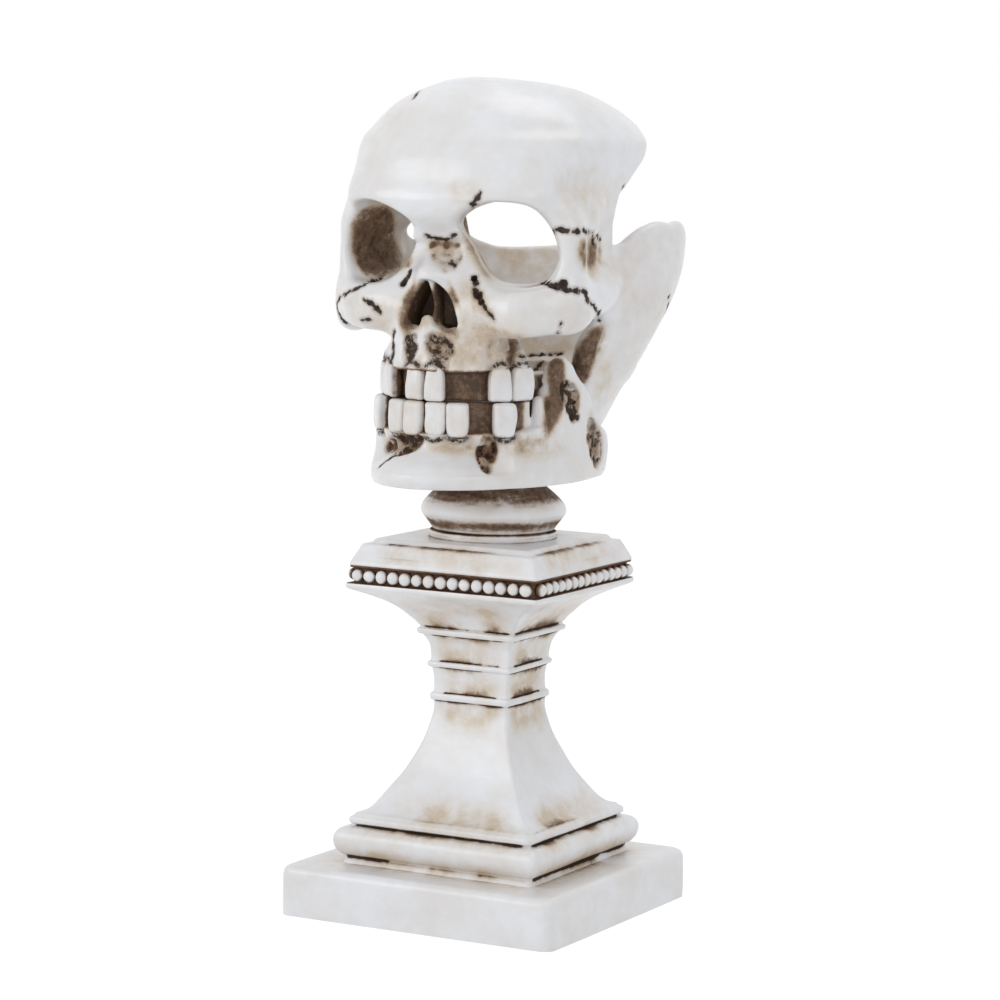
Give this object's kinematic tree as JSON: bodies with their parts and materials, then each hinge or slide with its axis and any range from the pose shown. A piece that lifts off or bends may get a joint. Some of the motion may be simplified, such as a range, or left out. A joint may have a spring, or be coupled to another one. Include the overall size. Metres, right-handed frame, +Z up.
{
  "type": "skull candle holder",
  "caption": "Skull with a broken-open back that holds a tea light, on a tapering square pedestal with a beaded course.",
  "frame": {"origin": "centre of the plinth's underside, on the surface that the holder stands on", "axes": "+Z up the pedestal to the crown of the skull; the face looks towards -Y; the skull's left is +X"},
  "size_m": [0.088, 0.1177, 0.24],
  "materials": {
    "ivory_resin": "cast resin painted ivory, satin to glossy, with a brown antique wash in its cracks, pits and grooves",
    "washed_resin": "the same cast resin where the brown antique wash lies thick",
    "steel": "plain turned steel"
  },
  "bodies": {
    "root": {"plinth": "ivory_resin", "base_moulding": "ivory_resin", "shaft": "ivory_resin", "shaft_collar_lower": "ivory_resin", "shaft_collar_middle": "ivory_resin", "shaft_collar_upper": "ivory_resin", "capital": "ivory_resin", "bead_course": "washed_resin", "bead_string_front": "ivory_resin", "bead_string_right": "ivory_resin", "bead_string_back": "ivory_resin", "bead_string_left": "ivory_resin", "cap_slab": "ivory_resin", "neck_ring": "washed_resin", "neck_bun": "ivory_resin", "locating_dowel": "steel", "lower_jaw": "ivory_resin", "rear_bowl": "ivory_resin", "face": "ivory_resin", "cranial_cap": "ivory_resin", "tooth_upper_left_1": "ivory_resin", "tooth_upper_left_4": "ivory_resin", "tooth_upper_left_5": "ivory_resin", "tooth_upper_right_1": "ivory_resin", "tooth_upper_right_3": "ivory_resin", "tooth_upper_right_4": "ivory_resin", "tooth_upper_right_5": "ivory_resin", "tooth_lower_left_1": "ivory_resin", "tooth_lower_left_2": "ivory_resin", "tooth_lower_left_4": "ivory_resin", "tooth_lower_right_1": "ivory_resin", "tooth_lower_right_2": "ivory_resin", "tooth_lower_right_4": "ivory_resin", "tooth_lower_right_5": "ivory_resin"}
  },
  "joints": []
}
